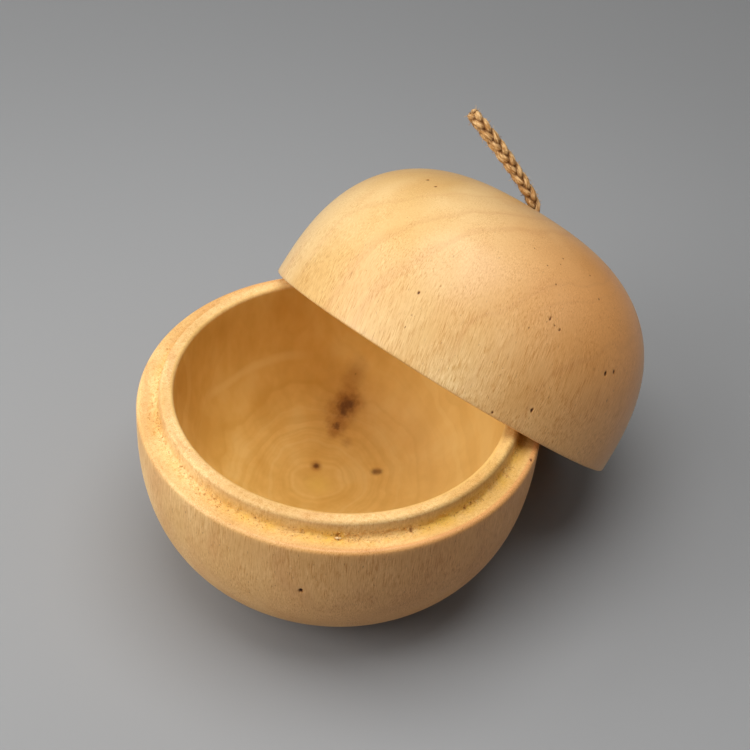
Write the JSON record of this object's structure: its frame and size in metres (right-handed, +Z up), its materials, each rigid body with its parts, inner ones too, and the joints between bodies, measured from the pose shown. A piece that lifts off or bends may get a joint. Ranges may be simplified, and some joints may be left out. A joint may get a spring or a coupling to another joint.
{
  "type": "yarn bowl",
  "caption": "Round turned wooden yarn bowl with a raised spigot rim and a domed lid leaning on it, lifted by a braided cord loop through its crown.",
  "frame": {"origin": "centre of the flat foot that the bowl stands on", "axes": "+Z up along the bowl's turning axis; +X towards the side where the lid leans, with the lid's axis in the XZ plane"},
  "size_m": [0.2141, 0.15, 0.1363],
  "materials": {
    "bowl_wood": "satin",
    "lid_wood": "satin",
    "cord_fibre": "matte"
  },
  "bodies": {
    "bowl": {"bowl": "bowl_wood"},
    "lid": {"lid": "lid_wood"},
    "handle": {"handle_cord": "cord_fibre", "stopper_knot": "cord_fibre"}
  },
  "joints": [
    {"name": "lid_swing", "type": "hinge", "parent": "bowl", "child": "lid", "pos_m": [-0.00111, 0, -0.00848], "axis": [0, -1, 0], "range_deg": [0, 44]},
    {"name": "handle_swivel", "type": "hinge", "parent": "lid", "child": "handle", "pos_m": [0.10936, 0, 0.10432], "axis": [0.6947, 0, 0.7193], "continuous": true}
  ]
}
